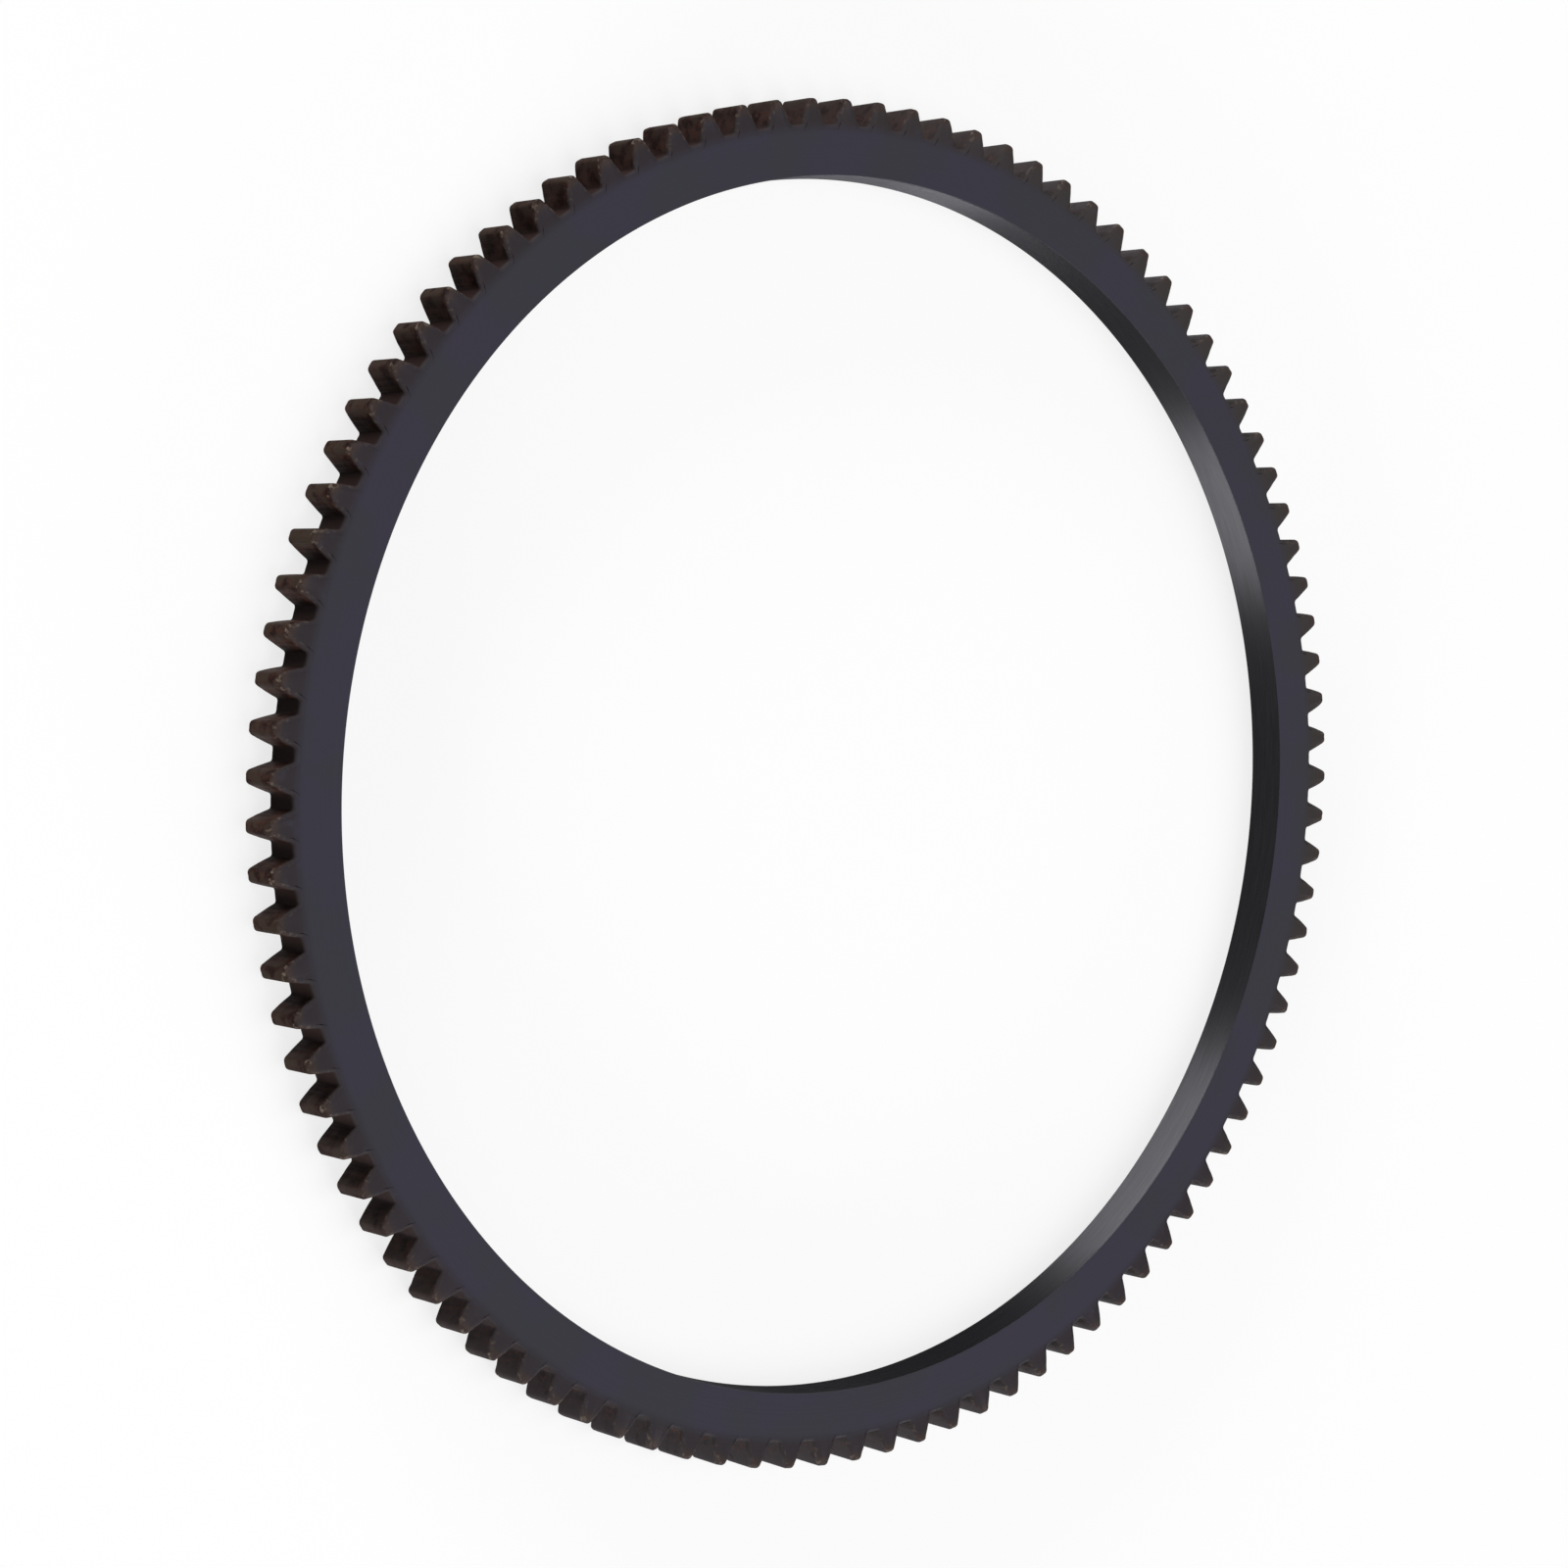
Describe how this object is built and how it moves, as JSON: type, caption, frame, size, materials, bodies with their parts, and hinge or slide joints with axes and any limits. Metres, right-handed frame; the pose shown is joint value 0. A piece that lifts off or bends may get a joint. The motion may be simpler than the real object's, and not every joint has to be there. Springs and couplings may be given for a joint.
{
  "type": "flywheel ring gear",
  "caption": "Flat steel ring with spur teeth round its outer rim and a plain bore, shrunk onto an engine flywheel so that the starter pinion can turn it.",
  "frame": {"origin": "on the bore's axis, halfway through the ring's width", "axes": "+Z along the bore's axis, out of the face that the picture shows; a tooth points along +X"},
  "size_m": [0.2474, 0.2474, 0.0074],
  "materials": {
    "blackened_steel": "blackened satin steel with brown oxide on the teeth"
  },
  "bodies": {
    "root": {"ring_gear": "blackened_steel"}
  },
  "joints": []
}
